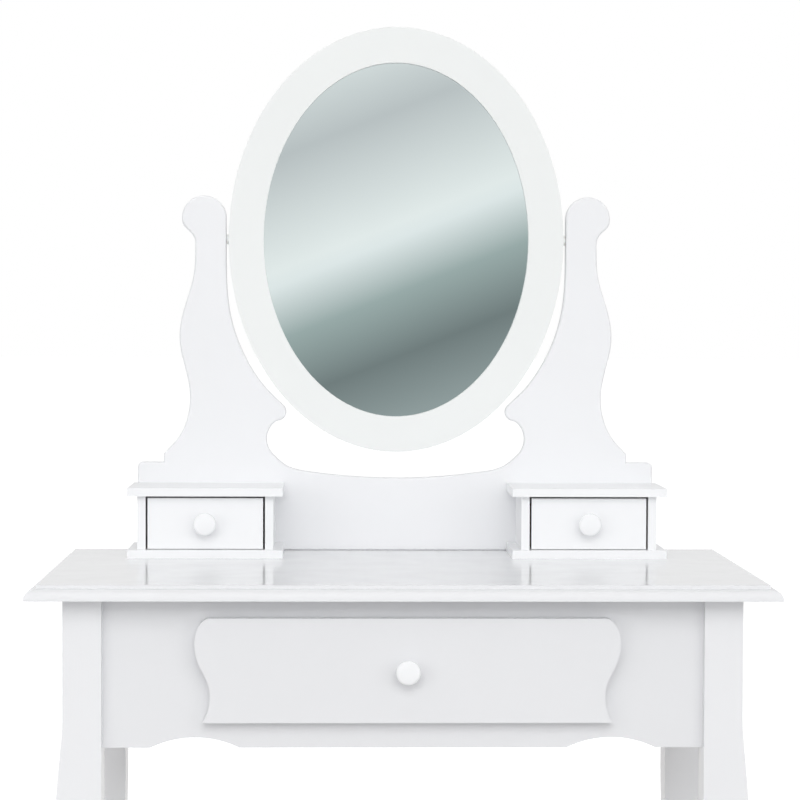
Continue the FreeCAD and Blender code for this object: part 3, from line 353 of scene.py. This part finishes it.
FLOOR_REACH = 60.0
FLOOR_DROP = 0.5 * MM
FLOOR_TONE = 0.46
FLOOR_LIFT = 0.75
WALL_RADIUS = 6.5
WALL_FOOT = 0.01
WALL_HEIGHT = 6.0
WALL_STEPS = 48
BAND_LEAN = math.radians(22)
BAND_PERIOD = 2.4

# The glow of the reflection wall over one period of its slanted bands, from the bottom up.
BAND_COLOURS = [
    (0.00, (0.45, 0.52, 0.52)),
    (0.215, (0.33, 0.39, 0.39)),
    (0.309, (0.20, 0.245, 0.245)),
    (0.403, (0.39, 0.48, 0.47)),
    (0.482, (0.89, 0.95, 0.95)),
    (0.505, (0.93, 0.98, 0.97)),
    (0.67, (0.59, 0.63, 0.64)),
    (0.76, (0.78, 0.83, 0.83)),
    (0.90, (0.80, 0.84, 0.84)),
]


LAMP_AIM = (0.0, 0.0, 0.9)

# Name, place, width, height, power in watts, and whether reflections show it.
LAMPS = [
    ("front_top", (0.0, -3.7, 2.7), 3.2, 2.0, 54.0, False),
    ("rear_fill", (0.0, 3.6, 2.6), 3.0, 2.0, 16.0, False),
    ("left_softbox", (-2.6, -2.8, 1.2), 1.4, 1.6, 14.0, True),
    ("right_softbox", (2.6, -2.8, 1.2), 1.4, 1.6, 12.0, True),
]


def stage_object(name, corners, faces, material):
    """A mesh that belongs to the studio and not to the table."""
    mesh = bpy.data.meshes.new(name)
    mesh.from_pydata(corners, [], faces)
    mesh.materials.append(material)
    made = bpy.data.objects.new(name, mesh)
    bpy.context.scene.collection.objects.link(made)
    return made


def floor_material():
    """Pale matt floor, lifted to white where it is seen or mirrored, as a studio sweep is."""
    n = Nodes("floor_white")
    grey = (FLOOR_TONE, FLOOR_TONE, FLOOR_TONE, 1.0)
    n.set(Base_Color=grey, Roughness=0.8, Emission_Color=(1.0, 1.0, 1.0, 1.0))
    as_light = n.add("ShaderNodeLightPath").outputs["Is Diffuse Ray"]
    lift = n.spread(as_light, FLOOR_LIFT, 0.0)
    n.set(Emission_Strength=lift)
    return n.material


def make_floor():
    reach = FLOOR_REACH
    corners = [(-reach, -reach, 0), (reach, -reach, 0), (reach, reach, 0), (-reach, reach, 0)]
    floor = stage_object("floor", corners, [(0, 1, 2, 3)], floor_material())
    floor.location.z = -FLOOR_DROP


def banded_glow():
    """Soft slanted bands of light, from pale grey over near white to a dark grey green."""
    n = Nodes("banded_glow")
    turned = n.add("ShaderNodeMapping")
    turned.inputs["Rotation"].default_value = (0.0, BAND_LEAN, 0.0)
    n.link(n.coordinates, turned.inputs["Vector"])
    axes = n.add("ShaderNodeSeparateXYZ")
    n.link(turned.outputs["Vector"], axes.inputs["Vector"])
    wrapped = n.add("ShaderNodeMath", operation="WRAP")
    n.link(axes.outputs["Z"], wrapped.inputs[0])
    wrapped.inputs[1].default_value = BAND_PERIOD
    wrapped.inputs[2].default_value = 0.0
    part = n.add("ShaderNodeMath", operation="DIVIDE")
    n.link(wrapped.outputs["Value"], part.inputs[0])
    part.inputs[1].default_value = BAND_PERIOD
    glow = n.add("ShaderNodeEmission")
    n.link(n.ramp(part.outputs["Value"], BAND_COLOURS), glow.inputs["Color"])
    output = n.tree.nodes["Material Output"]
    n.link(glow.outputs["Emission"], output.inputs["Surface"])
    return n.material


def make_reflection_wall():
    """A half-round wall in front of the table that only reflections see."""
    corners = []
    for step in range(WALL_STEPS + 1):
        angle = math.pi + math.pi * step / WALL_STEPS
        x = WALL_RADIUS * math.cos(angle)
        y = WALL_RADIUS * math.sin(angle)
        corners += [(x, y, WALL_FOOT), (x, y, WALL_HEIGHT)]
    faces = [(2 * k, 2 * k + 2, 2 * k + 3, 2 * k + 1) for k in range(WALL_STEPS)]
    wall = stage_object("reflection_wall", corners, faces, banded_glow())
    wall.visible_camera = False
    wall.visible_diffuse = False
    wall.visible_shadow = False


def area_light(name, place, aim, width, height, power):
    """A rectangular lamp that shines at a point and is not seen itself."""
    data = bpy.data.lights.new(name, "AREA")
    data.shape = "RECTANGLE"
    data.size = width
    data.size_y = height
    data.energy = power
    light = bpy.data.objects.new(name, data)
    bpy.context.scene.collection.objects.link(light)
    light.location = place
    light.rotation_euler = (Vector(aim) - Vector(place)).to_track_quat("-Z", "Y").to_euler()
    light.visible_camera = False
    return light


def make_world(seen, mirrored, lit_behind, lit_in_front):
    """White where it is seen, a little dimmer where it is mirrored, and as a light brighter
    in front of the table than behind it."""
    world = bpy.data.worlds.new("studio")
    world.use_nodes = True
    tree = world.node_tree
    background = tree.nodes["Background"]
    background.inputs["Color"].default_value = (1.0, 1.0, 1.0, 1.0)
    direction = tree.nodes.new("ShaderNodeTexCoord")
    axes = tree.nodes.new("ShaderNodeSeparateXYZ")
    tree.links.new(direction.outputs["Generated"], axes.inputs["Vector"])
    lit = tree.nodes.new("ShaderNodeMapRange")
    lit.inputs["From Min"].default_value = -1.0
    lit.inputs["From Max"].default_value = 1.0
    lit.inputs["To Min"].default_value = lit_in_front
    lit.inputs["To Max"].default_value = lit_behind
    tree.links.new(axes.outputs["Y"], lit.inputs["Value"])
    path = tree.nodes.new("ShaderNodeLightPath")
    shown = tree.nodes.new("ShaderNodeMapRange")
    shown.inputs["To Min"].default_value = mirrored
    shown.inputs["To Max"].default_value = seen
    tree.links.new(path.outputs["Is Camera Ray"], shown.inputs["Value"])
    strength = tree.nodes.new("ShaderNodeMapRange")
    tree.links.new(shown.outputs["Result"], strength.inputs["To Min"])
    tree.links.new(lit.outputs["Result"], strength.inputs["To Max"])
    tree.links.new(path.outputs["Is Diffuse Ray"], strength.inputs["Value"])
    tree.links.new(strength.outputs["Result"], background.inputs["Strength"])
    bpy.context.scene.world = world


def make_studio():
    make_world(seen=1.0, mirrored=0.90, lit_behind=0.30, lit_in_front=0.86)
    make_floor()
    make_reflection_wall()
    for name, place, width, height, power, in_reflections in LAMPS:
        light = area_light(name, place, LAMP_AIM, width, height, power)
        light.visible_glossy = in_reflections
    bpy.context.scene.view_settings.view_transform = "Standard"


make_camera()
make_studio()
